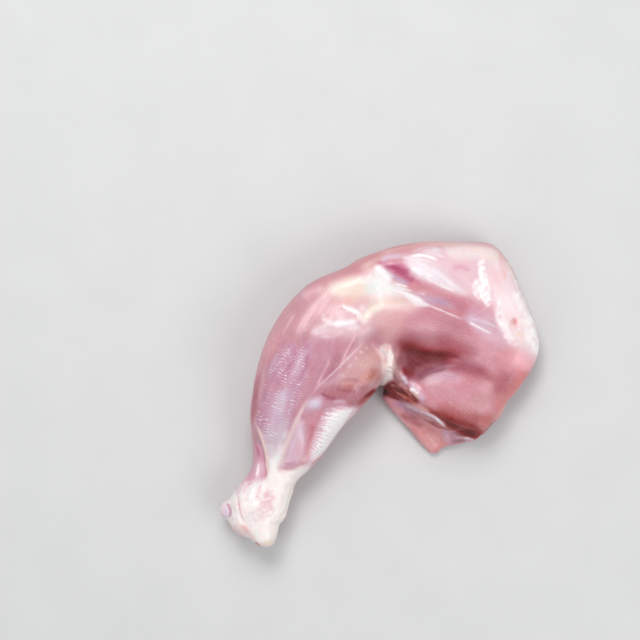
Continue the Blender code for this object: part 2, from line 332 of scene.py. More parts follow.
DRUMSTICK_PAINT = (
    (AREA, (203, 151, 166), "300,290 262,340 250,400 252,450 268,470 305,468 345,425 385,382 392,345 "
     "370,325 345,300", 8, 0.9),
    (AREA, (217, 169, 174), "298,298 278,325 290,342 316,336 344,330 354,312 332,290", 11, 0.85),
    (LINE, (224, 152, 158), "304,289 272,325 258,362 251,400 251,440 253,462", (8, 4), 0.8),
    # Painted shade: the left flank is darker where it turns away from the light.
    (LINE, (184, 102, 120), "262,366 253,398 251,434", (4.5, 3.5), 0.7, 3),
    (DAB, (234, 172, 179), "273,344", (7, 17, 20), 0.7),
    # Painted shade on the left flank.
    (DAB, (176, 100, 118), "255,401", (4, 15, 5), 0.75),
    (LINE, PINK, "282,330 268,356 261,390 258,416", (2.4, 2), 0.45, 3),
    (LINE, PALE_PINK, "296,312 286,328 281,338", (1.3, 0.8), 0.5),
    (LINE, (247, 202, 210), "300,299 312,292 326,286", (5, 5), 0.75),
    # A painted highlight (pale glow) and, next to it, painted shade that damps the lamps' highlight on the
    # drumstick's top.
    (DAB, (236, 196, 198), "326,310", (14, 10, -20), 0.6),
    (DAB, (192, 142, 152), "300,336", (10, 9, 0), 0.6),
    (AREA, (228, 190, 200), "312,331 334,327 354,328 364,334 352,342 330,341 314,340", 6, 0.7),
    (AREA, (204, 148, 161), "337,336 330,362 320,384 326,386 342,364 352,346 360,330 348,331", 4, 0.7),
    (LINE, (182, 124, 140), "342,350 334,368 323,386", (5, 3.5), 0.8),
    (AREA, (200, 150, 164), "322,338 318,362 308,384 302,396 308,398 320,382 330,360 334,340", 4, 0.55),
    (AREA, (214, 170, 170), "346,362 362,342 382,350 391,368 378,386 352,392 336,388", 6, 0.9),
    (DAB, (226, 188, 178), "370,360", (12, 8, -30), 0.7),
    (DAB, (206, 138, 126), "369,376", (10, 6, -25), 0.8),
    (DAB, (234, 196, 192), "381,364", (6, 8, 20), 0.6, 2),
    (DAB, (206, 146, 158), "352,350", (8, 5, -40), 0.6, 2.5),
    (LINE, (226, 204, 214), "346,372 336,381 328,388", (4, 3), 0.6, 1.6),
    (DAB, (220, 180, 188), "354,360", (5, 9, 35), 0.5),
    (DAB, (190, 116, 100), "371,374", (8, 5, -30), 0.7, 2.5),
    # Painted highlights: tiny white glints on the calf.
    (DAB, (250, 222, 214), "361,352", (2.2, 1.2, 20), 0.8),
    (DAB, (250, 226, 220), "367,348", (1.6, 1.0, 0), 0.8),
    (DAB, (250, 226, 220), "356,358", (1.4, 1.0, 30), 0.7),
    (DAB, (244, 214, 216), "350,366", (2.6, 1.2, -40), 0.6),
    (DAB, (248, 222, 222), "377,350", (3, 1.6, 20), 0.7, 1),
    (LINE, (212, 150, 158), "366,336 378,342 388,352", (6, 6), 0.55),
    (LINE, (214, 190, 204), "338,378 326,392 318,402", (5, 4), 0.5, 2),
    (DAB, (206, 128, 108), "347,388", (8, 5, -20), 0.6, 2),
    (AREA, (178, 112, 122), "320,389 334,384 346,387 368,386 364,400 354,409 342,403 326,400", 4, 0.7),
    (LINE, (160, 92, 96), "332,388 346,391 360,392", (4, 4), 0.6, 3),
    (AREA, (204, 166, 182), "318,402 330,399 346,401 344,408 330,409 318,411", 3, 0.75, 2),
    (LINE, (150, 74, 100), "318,392 328,397 338,400", (3, 3), 0.6, 1.2),
    (LINE, (170, 96, 92), "336,383 346,380 358,381 368,384", (2.6, 2.6), 0.35, 0.9),
    (LINE, (226, 206, 222), "330,402 340,401 350,402", (2.4, 2), 0.6, 0.9),
    (LINE, (226, 176, 176), "352,384 358,392 354,402", (3, 2), 0.5, 1.2),
    # Painted shade: the calf's lower right edge darkens to red and brown where it turns down to the gap by
    # the thigh.
    (LINE, EDGE_SHADE_RED, "384,384 370,394 356,408", (4.5, 3.5), 0.9, 3),
    (LINE, EDGE_SHADE_BROWN, "386,384 374,391 362,399", (2.4, 1.6), 0.8, 2),
    (LINE, CREAM, "394,366 390,376 381,384 372,389", (1.6, 0.8), 0.8),
)

SHIN_PAINT = (
    (AREA, (196, 148, 176), "288,344 304,338 312,352 306,376 296,400 288,424 280,448 264,448 257,424 "
     "263,392 274,362", 7, 0.85, 5),
    (LINE, (196, 138, 170), "298,342 288,362 280,380", (6, 5), 0.7, 3),
    (LINE, LILAC, "306,344 300,362 290,384", (3.4, 4), 0.5, 2),
    (LINE, (178, 112, 146), "297,350 290,366 284,380", (2.6, 2.4), 0.6, 2),
    (LINE, (182, 118, 150), "309,350 304,372 296,392", (2.2, 2.2), 0.5, 2),
    (LINE, (230, 214, 232), "302,352 297,366 289,380 284,392", (2.2, 2.6), 0.45, 1.3),
    (LINE, LILAC, "278,352 272,366 268,384", (3, 3), 0.5, 2.5),
    # Pale lilac film down the shin, with its sheen painted in as a painted highlight.
    (LINE, (214, 190, 210), "290,380 283,400 277,422 272,446", (9, 11), 0.8),
    (LINE, (224, 212, 228), "288,384 282,402 277,422 272,446", (6, 8), 0.85, 2.5),
    (LINE, (198, 144, 168), "306,356 302,380 294,404 288,420", (4, 3), 0.6, 3),
    (LINE, (196, 140, 168), "264,388 261,410 263,430", (2.5, 2.5), 0.45, 2),
    (AREA, (222, 208, 218), "260,432 274,430 288,420 285,444 278,456 266,456", 6, 0.85),
    (DAB, (228, 222, 238), "314,404", (9, 6, -25), 0.95),
    (DAB, (214, 186, 204), "312,412", (8, 5, 0), 0.6),
    (AREA, (219, 158, 172), "308,412 324,412 322,428 314,446 307,462 301,462 306,440 304,424", 3.5, 0.85),
    (LINE, RED_ROSE, "313,422 311,432 308,446", (3.0, 2.2), 0.5, 2),
    (LINE, SALMON, "318,430 311,448 306,463", (1.6, 1.4), 0.7),
    (AREA, (238, 214, 226), "297,420 304,422 305,444 302,460 290,466 281,467 287,450", 4.5, 0.9),
    (LINE, (228, 206, 222), "296,428 291,444 285,458", (4, 4), 0.8, 2),
    (LINE, (234, 190, 204), "302,436 299,450 293,462", (4, 4), 0.6, 2.5),
    (LINE, (250, 238, 244), "300,428 302,442 303,456", (1.8, 1.6), 0.7, 1.2),
    (LINE, (204, 140, 164), "283,463 290,464 298,459", (3, 2.6), 0.7, 1.5),
    (DAB, (248, 226, 220), "304,459", (3.4, 5, 10), 0.7, 1.5),
    # Whitish ribs on the calf, painted paler than white where they slope away: partly their own colour,
    # partly painted sheen.
    (AREA, (244, 216, 226), "327,411 340,407 354,407 357,411 347,425 336,440 322,456 308,466 310,448 "
     "317,430 323,418", 3.5, 1.0),
    (AREA, BRIGHT, "332,413 344,410 354,410 348,420 338,434 327,448 313,460 315,448 322,433 327,420",
     3, 1.0),
    (LINE, (230, 176, 186), "356,406 350,416 342,428", (1.5, 1.2), 0.6),
    (LINE, SALMON, "336,440 324,454 309,466", (1.2, 1.0), 0.7),
)

NECK_PAINT = (
    (AREA, (254, 252, 248), "267,457 275,453 283,446 283,458 279,470 296,474 308,466 296,484 268,486 "
     "268,468", 4.5, 0.95),
    (LINE, (240, 230, 236), "288,428 282,444 276,458", (3, 6), 0.7, 1.5),
    (LINE, (236, 226, 234), "268,440 271,450 273,462", (5, 7), 0.6, 2),
    (LINE, CREAM, "278,470 292,472 306,464", (1.6, 1.4), 0.8),
    (AREA, (226, 168, 188), "253,446 262,445 266,460 267,474 262,486 252,488 246,482 250,465", 3, 0.9),
    # Painted highlight: a pale glint zone down the middle of the neck's muscle strip.
    (LINE, (246, 222, 234), "259,458 259,468 257,479 252,486", (4, 4), 0.7),
    (LINE, (176, 108, 132), "253,446 250,462 247,476", (2.4, 2.0), 0.7, 1.5),
    (LINE, (190, 112, 140), "265,452 267,468 264,482", (1.5, 1.2), 0.7, 1.5),
    (LINE, MAGENTA, "255,444 259,452 258,459", (2.2, 1.6), 0.6, 1.5),
    # Painted highlights: white glints down the middle of the muscle strip.
    (LINE, BRIGHT, "258,462 258,470 256,478", (2.2, 1.8), 0.95, 1.2),
    (LINE, LILAC, "262,458 263,470 260,482", (1.4, 1.0), 0.5, 1.2),
)

KNUCKLE_PAINT = (
    (AREA, FAT, "262,480 282,474 308,466 300,482 294,500 286,528 274,548 258,545 236,528 220,518 220,504 "
     "236,486 250,482", 4, 1.0),
    (LINE, (270, 260, 250), "298,482 290,502 283,524 274,544", (9, 7), 0.85),
    (LINE, (226, 178, 206), "248,482 240,488 236,496", (4, 3), 0.6, 2),
    (LINE, (214, 130, 160), "254,480 246,488 242,496", (1.6, 1.0), 0.6, 1.5),
    (LINE, (226, 160, 184), "262,482 258,494 254,502", (1.4, 1.0), 0.6, 1.5),
    (LINE, WHITE, "258,482 252,492 247,502", (1.5, 1.2), 0.7),
    (DAB, (234, 190, 196), "267,501", (10, 13, 10), 0.9, 2.5),
    (DAB, (236, 184, 190), "269,494", (6, 6, 0), 0.7, 1.8),
    (DAB, (238, 200, 204), "262,512", (7, 8, 20), 0.7, 2),
    (DAB, (244, 224, 228), "253,520", (9, 9, 30), 0.7, 2.5),
    (LINE, BRIGHT, "252,507 261,501 273,497", (1.3, 0.9), 0.9, 1.0),
    (LINE, BRIGHT, "256,492 262,489 266,484", (1.4, 1.0), 0.8, 0.9),
    (LINE, (216, 156, 166), "262,505 268,508 274,505", (1.2, 0.9), 0.6, 0.9),
    (LINE, (222, 176, 186), "250,510 256,515 264,516", (1.2, 0.9), 0.7, 0.9),
    (LINE, WHITE, "252,516 260,512 268,508", (1.0, 0.8), 0.6),
    (LINE, (214, 132, 158), "235,489 238,500 240,510 242,518 249,528", (1.5, 0.9), 0.9, 1.0),
    (LINE, (240, 186, 196), "243,500 244,512 250,522", (1.4, 1.0), 0.4, 1.2),
    (DAB, (222, 190, 216), "225,512", (5, 7, -10), 0.85),
    (LINE, (176, 84, 128), "226,502 229,507 230.5,513 228,519", (1.1, 0.9), 0.9),
    (LINE, (236, 150, 150), "240,524 248,532 257,541", (3, 2.5), 0.7, 1.8),
    (LINE, (244, 206, 200), "234,522 246,533", (3, 2), 0.6, 2),
    (LINE, (204, 96, 76), "254,541 260,546 266,548", (2.0, 1.4), 0.9, 1.2),
    (DAB, (252, 226, 200), "269,543", (5, 3, -10), 0.8),
)

KNEE_PAINT = (
    (LINE, (216, 148, 152), "302,290 326,277 352,267 372,258 392,249", (4.5, 3.5), 0.8),
    (DAB, (240, 208, 202), "368,266", (8, 5, -20), 0.75),
    (AREA, (240, 214, 214), "346,300 372,298 422,300 416,311 396,315 378,326 372,334 356,338 340,336 "
     "334,326", 7, 0.7),
    (AREA, (250, 226, 222), "318,290 336,282 356,276 372,272 392,284 412,296 396,306 372,304 340,300",
     9, 0.85),
    (AREA, CREAM, "330,284 350,277 362,278 366,294 346,297 332,293", 5, 0.95),
    # White fascia at the knee, with painted highlights in mint and white streaks on it.
    (AREA, (238, 240, 236), "370,276 378,269 390,280 404,289 400,294 384,296 370,294", 7, 0.95),
    (LINE, (236, 242, 236), "367,278 368,287 371,295", (4, 4), 0.6),
    (LINE, WHITE, "373,264 384,274 393,283", (3.5, 5), 0.95),
    (LINE, WHITE, "376,276 386,286 398,293", (3, 3), 0.6, 1.5),
    (AREA, (241, 216, 202), "366,300 384,298 404,299 412,304 396,307 378,306", 4, 0.75),
    (DAB, (248, 204, 196), "344,302", (11, 5, 8), 0.7),
    (DAB, (250, 214, 196), "352,299", (6, 3, 0), 0.6),
    (DAB, (212, 158, 176), "348,316", (8, 5, 10), 0.6, 2),
    # Painted highlights along the raised ridge below the knee.
    (LINE, WHITE, "339,306 346,307.5 354,310 363,315", (1.6, 2.8), 1.0),
    (LINE, WHITE, "344,309 352,311.5 358,315", (0.9, 1.2), 0.9),
    (DAB, (255, 250, 242), "368,313", (4, 4.6, 20), 0.95),
    (DAB, (255, 252, 246), "375,309", (4.6, 3, -20), 0.9),
    (LINE, FAT, "358,312 359,318 360,322", (1.8, 1.4), 0.9, 1.2),
    # Painted highlights: a soft pale band with white streaks on the drumstick's top, below the knee.
    (LINE, (238, 208, 214), "312,328 330,325 350,325 362,328", (6, 8), 0.7),
    (LINE, (246, 230, 234), "308,334 324,329 342,325", (4.5, 5), 0.7, 3),
    (LINE, (246, 226, 230), "318,338 332,334 346,331", (2.5, 3), 0.6, 1.6),
    (LINE, (250, 236, 240), "320,318 327,321 334,326", (2.5, 3), 0.7, 1.6),
    (LINE, (250, 234, 238), "322,312 326,321 334,326", (3.5, 3.5), 0.4, 2),
    (LINE, (255, 248, 250), "328,324 338,323 348,323 360,321", (3.4, 3.6), 0.8),
    (LINE, WHITE, "330,325 338,324 348,323 358,321", (3.0, 3.4), 0.95, 2.5),
    (LINE, (248, 232, 236), "344,327 354,328 362,325", (3, 2.5), 0.6, 2),
    (LINE, (250, 230, 234), "337,303 337,312 338,321", (1.2, 0.9), 0.5, 0.9),
    (LINE, (252, 236, 228), "363,328 366,316 373,309 386,306", (5.5, 4), 0.85),
    (LINE, CREAM, "365,324 367,315 372,309 380,306.5 388,307", (3.4, 2.6), 1.0),
    (LINE, (250, 228, 224), "380,310 396,306 412,304 424,305", (4, 3), 0.75),
)

THIGH_PAINT = (
    (AREA, (216, 156, 166), "376,300 410,300 450,310 500,320 540,350 520,392 480,436 440,425 400,395 "
     "384,350", 8, 0.8),
    (AREA, (246, 218, 224), "402,255 440,247 480,247 502,258 514,284 512,312 492,308 472,298 450,278 "
     "424,264", 8, 0.95),
    (AREA, (252, 234, 232), "444,247 470,245 494,249 502,260 480,259 452,257", 5, 0.8),
    (AREA, (255, 231, 235), "486,262 503,262 516,284 516,310 502,306 490,290", 7, 0.85),
    (AREA, (236, 200, 213), "468,310 490,312 512,326 516,350 494,346 474,332", 8, 0.9),
    # Painted shade: the side of the upper thigh's bulge that faces away from the key light.
    (DAB, (188, 130, 142), "452,328", (16, 11, 20), 0.75),
    (DAB, (220, 172, 182), "414,320", (14, 7, 12), 0.6),
    (DAB, (220, 166, 176), "432,335", (10, 6, 15), 0.55),
    (LINE, (238, 182, 180), "364,260 380,252 400,247 430,243 466,241", (6, 3), 0.8),
    (LINE, (244, 212, 204), "360,268 372,260 388,254 404,251", (4, 3), 0.75, 1.6),
    (LINE, (206, 116, 126), "368,256 384,250 402,246 424,243", (1.5, 1.0), 0.6, 1.2),
    (LINE, BEIGE, "424,246 446,244 470,244", (1.6, 1.4), 0.6),
    # Painted highlight along the thigh's top edge.
    (LINE, (246, 228, 236), "406,253 424,251 446,250", (3.5, 4.5), 0.8, 1.6),
    (LINE, (232, 180, 200), "450,268 460,267 472,271", (2.6, 2.6), 0.7),
    (AREA, (242, 228, 237), "404,257 420,259 440,268 456,282 466,294 450,291 432,284 418,278 408,268",
     6, 0.9),
    (LINE, (216, 204, 220), "420,270 436,277 450,286", (3, 2.5), 0.5, 1.5),
    (LINE, (252, 246, 250), "408,262 422,268 438,277 452,287 462,295", (6, 3), 0.8, 2),
    (LINE, BRIGHT, "412,265 422,271 434,279", (2.6, 2.0), 0.7, 1.2),
    (LINE, (236, 218, 236), "378,261 390,257 404,256", (3, 3), 0.85),
    (AREA, (216, 154, 162), "412,282 430,285 448,291 464,300 468,310 452,304 434,297 418,291", 4, 0.9),
    (DAB, (208, 138, 152), "459,305", (9, 6, 35), 0.75),
    (DAB, (222, 164, 184), "476,312", (9, 6, 25), 0.8),
    (AREA, (206, 180, 200), "408,290 424,294 444,299 456,308 440,306 424,302", 4, 0.8),
    (LINE, (204, 140, 158), "440,296 454,302 466,311", (4, 4), 0.6, 2),
    (DAB, (188, 152, 186), "441,302", (7, 3.5, 25), 0.5),
    (LINE, (222, 198, 214), "460,316 478,322 494,330", (4, 5), 0.8),
    (AREA, MAGENTA, "379,263 390,263.5 402,264 409,270 406,276 397,275 387,269", 2.6, 1.0),
    (LINE, (216, 160, 186), "378,262 386,263 394,266", (2.4, 2), 0.7, 1.2),
    (LINE, (176, 76, 100), "392,267 400,269 406,272", (2.4, 2), 0.6, 1.5),
    (LINE, MAGENTA, "402,275 409,279 416,281", (3.2, 2.4), 0.9),
    (LINE, (210, 130, 150), "412,281 422,284", (2.6, 2.2), 0.6),
    # Painted shadow: a blue-violet band along the lower left edge of the magenta patch, in its groove.
    (LINE, (196, 176, 208), "380,266 388,273.5 399,279.5 412,285", (2.4, 2.2), 0.9),
)

BELLY_PAINT = (
    (AREA, (206, 146, 158), "398,320 430,315 470,338 500,356 500,372 480,372 462,362 430,350 402,342",
     10, 0.7),
    # Painted shade: the lower side of the upper thigh's bulge.
    (LINE, (172, 98, 110), "430,342 456,348 484,354", (10, 8), 0.8),
    # Painted highlight: a pink sheen near the right rim.
    (AREA, (244, 176, 184), "500,352 520,352 538,360 530,376 514,374 500,366", 7, 0.75),
    # Painted shade in the crease between the hollow and the lower lobe, running right.
    (LINE, (176, 100, 112), "430,366 456,367 480,373 502,381", (7, 6), 0.8),
    (AREA, (232, 186, 184), "376,320 392,312 408,310 404,324 396,338 384,342", 8, 0.8),
    (DAB, (224, 172, 182), "424,328", (14, 8, 15), 0.55),
    # Painted shade: the dark hollow behind the knee and its crease down to the knee's back.
    (LINE, (186, 100, 108), "390,334 402,342 426,351 452,353 474,352", (10, 10), 0.8),
    (LINE, (156, 70, 70), "395,339 408,347 424,354 446,355 464,352", (8, 7), 0.95),
    (LINE, (134, 52, 50), "399,344 412,351 426,355 440,355 452,352", (5, 4.5), 0.9),
    (AREA, (118, 64, 68), "405,354 424,356 442,356 446,362 432,366 418,371 410,378 406,374 403,364",
     7, 0.9),
    (LINE, (166, 100, 112), "446,362 458,364 474,367 490,374", (6, 5), 0.6),
    (DAB, (160, 108, 116), "400,361", (5, 6, 0), 0.7),
    (DAB, (132, 44, 58), "407,372", (7, 5, 10), 0.9),
    # Painted shade along the lower lobe's upper lip, where its step would catch the light.
    (LINE, (138, 84, 98), "411,383 424,375 438,369 454,367", (5.5, 5), 0.85),
    (LINE, (184, 138, 156), "420,376 434,370 448,366 462,366", (1.1, 1.3), 0.7),
    (LINE, (184, 140, 156), "422,386 436,378 452,375 464,380", (5, 4), 0.7),
    # Painted highlight: a soft lilac sheen on the lower lobe's upper left.
    (DAB, (212, 172, 190), "446,378", (14, 5, 10), 0.6),
    (DAB, (212, 168, 175), "444,391", (19, 8, 15), 0.6),
    (DAB, (198, 142, 146), "478,402", (16, 9, -30), 0.7),
    # Painted shade: the crease's right end and the lower lobe's lower right edge.
    (DAB, (184, 110, 118), "492,377", (9, 5, 35), 0.7),
    (DAB, (188, 102, 108), "504,386", (12, 14, -30), 0.75),
    (LINE, (232, 136, 133), "534,364 521,382 507,400 492,419", (8, 7), 0.85),
    (LINE, (248, 180, 164), "533,374 518,393 502,411 490,426", (1.8, 1.6), 0.6),
    # Painted shade under the lower lobe, darkest where it meets the flap.
    (LINE, (182, 102, 100), "432,406 462,415 488,421", (8, 7), 0.75),
    (AREA, (150, 60, 54), "424,408 440,411 460,418 474,423 482,430 482,438 472,438 460,433 448,427 434,418",
     4.5, 0.9),
    (AREA, (120, 20, 16), "432,412 446,418 462,426 474,431 476,436 470,437 460,432 446,425", 3.5, 0.95),
    (DAB, (206, 116, 106), "487,422", (7, 9, 30), 0.8),
    # Painted highlight: a pink sheen near the right rim.
    (AREA, (244, 178, 184), "508,344 530,350 538,362 526,368 508,360", 6, 0.7),
)

FAN_PAINT = (
    (LINE, WHITE, "404,258 416,255.5 426,256 438,259 446,263", (1.6, 2.6), 0.95, 1.5),
    (LINE, BRIGHT, "410,256 420,255 430,257 440,261", (1.0, 1.6), 0.9),
    (LINE, WHITE, "408,259 420,259.5 434,263 446,269", (1.4, 1.6), 0.7, 1.5),
    (LINE, WHITE, "420,253 434,254 448,258", (1.2, 1.6), 0.6, 1.5),
    (LINE, (236, 220, 234), "413,250 426,247.5 444,248", (1.1, 0.8), 0.7),
    (LINE, WHITE, "398,257 412,259 424,265 436,271", (1.4, 1.2), 0.6, 1.5),
    (LINE, WHITE, "410,267 417,271 424,277", (4.0, 3.0), 0.95, 2),
    (LINE, WHITE, "422,276 434,282 446,288 459,292", (2.2, 1.6), 0.9, 2),
    (LINE, WHITE, "430,268 444,277 454,285 461,292", (1.6, 1.8), 0.6, 1.5),
    (LINE, WHITE, "393,283 401,285 410,287.5", (1.1, 0.8), 0.95),
    (LINE, WHITE, "395,286.5 404,289 414,292", (0.9, 0.7), 0.9),
    (LINE, WHITE, "392,289 404,293 416,298 428,304", (1.6, 1.6), 1.0),
    (LINE, WHITE, "402,291 414,295.5 424,299", (0.9, 0.7), 0.8),
    (AREA, (246, 240, 246), "402,293 412,297 424,302 430,306 418,306 411,302", 2, 0.9),
    (LINE, (244, 224, 236), "424,303 438,309 452,315 466,320.5", (1.8, 1.4), 0.4, 1.2),
    (LINE, WHITE, "424,303 438,309 452,315 466,320.5", (0.7, 0.6), 0.8),
    (LINE, WHITE, "466,320.5 480,328 494,335", (1.3, 0.7), 1.0),
    (LINE, (236, 214, 228), "467,319 472,313 471,306 465,299", (1.3, 0.9), 0.4, 1.5),
    (LINE, (240, 224, 238), "468,320 474,315 482,311 488,306", (1.4, 0.9), 0.6, 1.5),
    (LINE, (244, 228, 240), "466,320 478,320 490,324 502,331", (1.6, 1.4), 0.7, 1.5),
    (LINE, (236, 212, 228), "472,307 484,314 496,322", (0.9, 0.8), 0.6, 1.5),
)

RIM_PAINT = (
    (AREA, (254, 236, 226), "474,249 492,247 501,256 498,264 484,258", 4.5, 0.85, 1.6),
    (LINE, (242, 176, 166), "497,250 501,260 503,272 508,284", (2.2, 1.8), 0.7, 1.5),
    (LINE, (244, 186, 184), "488,262 494,272 498,286", (3.5, 3), 0.5, 2),
    (LINE, CREAM, "504,258 509,268 514,280", (2.2, 2), 0.7, 2),
    (LINE, (248, 208, 212), "494,264 498,282 504,300", (8, 7), 0.6),
    (AREA, BRIGHT, "478,261 484,259 487,270 490,284 492,300 488,307 482,300 479,284", 3.2, 0.9, 1.5),
    (AREA, BRIGHT, "472,284 477,279 481,288 484,300 478,298 473,293", 2.8, 0.9, 1.3),
    (LINE, BRIGHT, "480,262 482,276 485,290", (1.6, 2.4), 0.8),
    (AREA, BRIGHT, "495,300 502,300 507,316 511,330 519,345 508,343 502,333 496,318", 3.2, 1.0, 2),
    (LINE, BRIGHT, "500,306 504,318 508,332 516,343", (2.2, 1.8), 0.9, 1.2),
    (LINE, (250, 226, 214), "503,258 512,274 520,292 526,308", (2.4, 4), 0.8, 2),
    (LINE, BRIGHT, "507,264 514,278 520,292", (1.4, 3), 0.8, 1.4),
    (AREA, (254, 234, 236), "498,296 511,286 522,290 531,306 538,326 546,342 542,362 526,354 510,338 "
     "500,318", 10, 0.9),
    (AREA, BRIGHT, "512,290 523,292 531,306 538,326 544,342 542,356 532,350 525,336 521,316 514,302",
     5, 1.0, 3),
    (LINE, (262, 204, 212), "512,356 524,363 534,370", (7, 6), 0.8),
    (DAB, (240, 176, 178), "514,323", (4, 7, -15), 0.8, 1.5),
    (DAB, (226, 134, 140), "515,321", (2.2, 3.6, -10), 0.95),
    (DAB, (250, 222, 208), "519,334", (5, 3.6, 20), 0.8),
)

FOLD_PAINT = (
    (AREA, (248, 230, 224), "380,346 387,344 393,351 396,361 397,370 393,378 386,384 379,389 375,388 "
     "381,379 382,370 382,360 379,352", 2.4, 1.0),
    (LINE, FAT, "387,346 391,353 390,363 391,371 385,380 376,388", (4.2, 2.6), 1.0, 1.3),
    (DAB, (226, 178, 172), "385,361", (2.5, 4, 0), 0.7),
    (DAB, (224, 180, 176), "395,357", (1.8, 4, -20), 0.7),
    (DAB, (255, 246, 236), "391,356", (3, 3.6, 20), 0.95, 1),
    (DAB, (255, 242, 228), "391,369", (3, 4.2, 0), 0.95, 1),
    (DAB, (255, 240, 230), "384,380", (5, 2.6, -40), 0.9, 1),
    (DAB, (250, 222, 204), "379,354", (4, 3, 0), 0.6, 1.2),
    # Painted highlight: whitish-lilac glints at the top of the knee fat.
    (LINE, (222, 212, 226), "380,348 384,353 387,360", (2.0, 1.6), 0.8, 1.5),
    (LINE, BRIGHT, "388,348 392,354 393,362", (1.6, 1.2), 0.9, 0.8),
    (LINE, (236, 196, 180), "385,364 384,373 380,380", (1.8, 1.4), 0.6, 0.9),
    (DAB, (216, 168, 174), "388,348", (5, 3.6, 10), 0.6, 1),
    (DAB, (262, 246, 240), "389,376", (3.6, 4, 10), 0.95),
    (LINE, (206, 152, 146), "389,366 394,370 396,377", (0.9, 0.8), 0.7),
    # Painted shade between the knee fat and the fold.
    (AREA, (204, 162, 164), "394,360 399,366 404,375 404,384 398,384 393,376", 2.2, 0.9),
    (LINE, (160, 96, 100), "393,372 396,379 402,384", (1.4, 1.4), 0.7),
    (LINE, (240, 224, 226), "396,368 400,373 403,379", (1.6, 1.2), 0.7, 1.2),
    # The recess behind the knee: red-brown tissue deepened by painted shade; the darkest dab and lines are
    # painted shade, the salmon strands are the tissue's own.
    (AREA, (142, 72, 68), "380,389 388,383 394,381 404,388 414,394 419,402 410,404 398,399 386,396",
     2.6, 1.0),
    (LINE, (196, 112, 96), "392,388 398,391 402,396", (2.0, 1.6), 0.8, 1.2),
    (LINE, (206, 122, 104), "402,394 409,398 416,403", (3.0, 2.2), 0.9, 1.5),
    (DAB, (70, 8, 4), "383,391", (6, 3.4, 20), 1.0),
    (LINE, (120, 40, 36), "382,388 390,386 400,391 404,394", (2.0, 1.4), 0.95),
    (LINE, (140, 40, 34), "384,394 392,397 402,401", (1.3, 1.0), 0.9),
    (LINE, (220, 176, 168), "396,384 402,386 408,391 414,397", (2.4, 1.8), 0.85, 1.5),
    (LINE, (222, 178, 168), "389,385 395,386 402,390", (1.8, 1.6), 0.8, 0.9),
    (LINE, (214, 140, 124), "394,391 401,395 409,400", (1.2, 1.0), 0.8, 0.8),
    # Painted shade deep in the recess.
    (LINE, (92, 40, 38), "398,389 404,393 410,397", (0.9, 0.7), 0.8),
    (LINE, (212, 206, 224), "401,375 405,380 407,386", (2.4, 2.0), 0.95),
    (AREA, (220, 188, 208), "408,382 413,381 420,389 425,399 420,400 412,392", 2.0, 0.95),
    (LINE, (238, 206, 190), "409,388 414,393 420,399", (1.8, 1.4), 0.85),
    # Painted highlights: white glints on the small fat lobe.
    (LINE, BRIGHT, "409,388.5 413,389 416,392 420,394", (1.2, 0.8), 1.0),
    (DAB, BRIGHT, "411,390", (1.8, 1.4, 20), 0.9),
    (LINE, (250, 244, 250), "403,377 406,381 407,385", (1.2, 0.9), 0.8, 0.8),
    (LINE, (214, 150, 160), "410,380 418,388 424,396", (0.9, 0.8), 0.7),
    (LINE, (212, 150, 136), "406,402 418,407 432,412", (2.6, 2.2), 0.8),
    (AREA, (230, 166, 168), "386,402 400,406 414,414 430,420 442,430 452,440 446,452 436,457 426,452 "
     "412,434 398,418", 4, 0.95),
    (LINE, (234, 150, 144), "434,452 442,446 448,440", (5, 4), 0.7),
    (DAB, (244, 190, 186), "432,441", (8, 11, -30), 0.6, 1.6),
    # Painted highlight: a whitish-pink sheen along the flap's left edge.
    (LINE, (242, 192, 196), "390,406 404,423 418,440 430,453", (2.4, 2.4), 0.7, 2),
    (LINE, (244, 178, 172), "414,428 426,440 432,452", (5, 4), 0.5, 1.5),
    (LINE, (170, 98, 102), "398,412 412,419 428,427", (5, 4), 0.9, 1.6),
    (LINE, (206, 132, 132), "398,418 412,432 424,446", (3, 3), 0.5, 1.2),
    (LINE, (250, 206, 206), "424,432 432,440 438,450", (2.4, 2), 0.6, 1.0),
    (LINE, (120, 66, 76), "428,420 434,423 441,430", (1.3, 1.0), 0.7, 0.8),
    (LINE, (236, 196, 216), "444,428 448,436 444,444", (4, 4), 0.8, 2),
    (LINE, (196, 150, 172), "388,400 400,405.5 412,410 426,415", (4.5, 4), 0.85),
    (LINE, (220, 196, 214), "392,401 404,405 418,410.5 432,416 443,424 450,434", (2.0, 4.2), 0.9, 1.5),
    (LINE, (224, 194, 210), "400,403.5 410,407 420,411", (2.2, 2), 0.7),
    (LINE, WHITE, "410,408.5 422,412 434,417 442,424 447,430", (1.2, 1.8), 0.9, 1.2),
    (AREA, (206, 174, 190), "440,426 450,430 462,435 474,440 460,446 448,446 442,438", 2.6, 0.7, 2),
    (LINE, (112, 76, 84), "450,445 458,440 468,441", (2.0, 1.6), 0.8, 1.2),
    # Painted highlight: a white glint on the web.
    (LINE, WHITE, "462,437 470,439 475,440", (0.9, 0.8), 0.8),
)

TENDON_PAINT = (
    (LINE, (240, 206, 216), TENDON_HEAD, (0.9, 1.2), 0.9, 0.9),
    (LINE, (240, 220, 218), TENDON, (1.5, 3.2), 0.95),
    (LINE, (238, 190, 198), SHORT_TENDON, (0.9, 0.9), 0.85),
    (LINE, (236, 176, 186), "350,344 345,356 341,364", (0.9, 0.8), 0.7),
    (LINE, (240, 212, 222), SIDE_TENDON, (0.9, 1.0), 0.8),
    (LINE, (250, 232, 218), LEFT_TENDON, (1.1, 1.3), 1.0),
)


def paint_rows(skin, rows):
    for number, (shape, colour, text, size, strength, *rough) in enumerate(rows):
        mask = skin.stroke(shape, text, size, STROKE_SEED + number, *rough)
        skin.paint(colour, mask, strength)
        if min(colour) >= FAT_LEVEL:
            skin.fat = np.maximum(skin.fat, np.minimum(mask * strength, 1.0))


